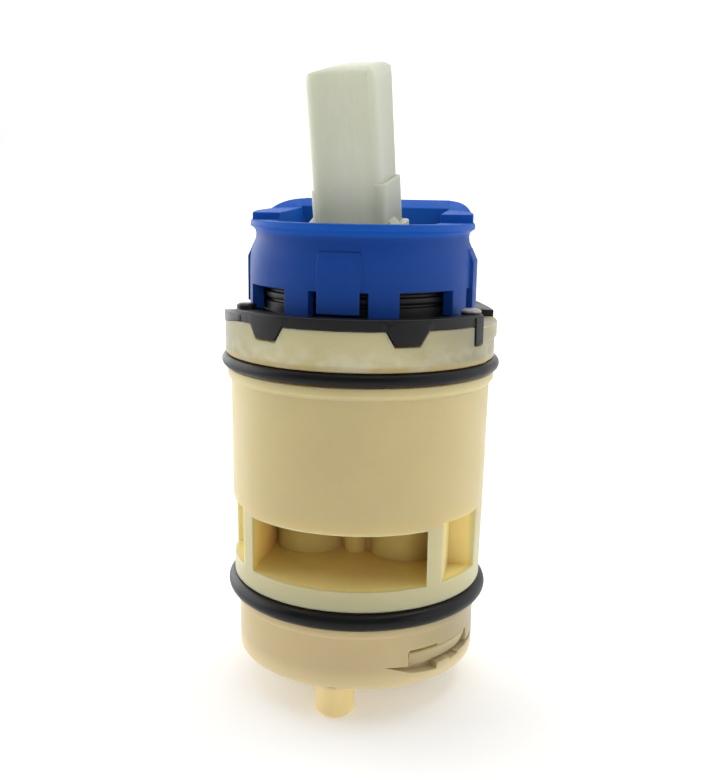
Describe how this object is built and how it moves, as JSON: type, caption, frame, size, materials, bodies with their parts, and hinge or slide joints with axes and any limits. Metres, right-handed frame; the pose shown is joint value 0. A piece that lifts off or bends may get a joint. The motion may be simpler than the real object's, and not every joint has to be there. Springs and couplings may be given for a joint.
{
  "type": "faucet cartridge",
  "caption": "Single-lever ceramic disc mixer cartridge with side outlet windows, O-rings, limiter ring and locating pins.",
  "frame": {"origin": "centre of the base cup's flat bottom face, on the cartridge's axis", "axes": "+Z along the cartridge's axis towards the lever; -Y is the front, where the locating pin and the opening of the limiter ring are"},
  "size_m": [0.0354, 0.0354, 0.0779],
  "materials": {
    "housing_plastic": "satin cream acetal, slightly translucent",
    "cup_plastic": "satin beige acetal, slightly translucent",
    "black_plastic": "moulded black, satin",
    "blue_plastic": "moulded royal blue, satin",
    "lever_plastic": "pale grey-green, translucent, satin",
    "grey_plastic": "moulded light grey",
    "ceramic": "polished white alumina",
    "black_rubber": "lubricated black rubber",
    "steel": "ground stainless pin"
  },
  "bodies": {
    "body": {"base_cup": "cup_plastic", "inlet_seal_hot": "black_rubber", "inlet_seal_cold": "black_rubber", "housing": "housing_plastic", "lower_o_ring": "black_rubber", "upper_o_ring": "black_rubber", "disc_seal_hot": "black_rubber", "disc_seal_cold": "black_rubber", "disc_seal_outlet": "black_rubber", "fixed_disc": "ceramic", "casing_cap": "black_plastic", "limiter_ring": "blue_plastic"},
    "turret": {"turret": "grey_plastic", "turret_o_ring": "black_rubber", "lever_pin": "steel"},
    "lever": {"lever": "lever_plastic"},
    "slider": {"drive_plate": "grey_plastic", "moving_disc": "ceramic"}
  },
  "joints": [
    {"name": "temperature_turn", "type": "hinge", "parent": "body", "child": "turret", "pos_m": [0, 0, 0.0455], "axis": [0, 0, 1], "range_deg": [-41, 59]},
    {"name": "flow_tilt", "type": "hinge", "parent": "turret", "child": "lever", "pos_m": [0, 0, 0.0455], "axis": [-0.9877, 0.1564, 0], "range_deg": [0, 24]},
    {"name": "disc_slide", "type": "slide", "parent": "turret", "child": "slider", "axis": [-0.1564, -0.9877, 0], "range_m": [0, 0.0028]}
  ],
  "couplings": [
    {"joint": "disc_slide", "follows": "flow_tilt", "m_per_rad": 0.00665}
  ]
}
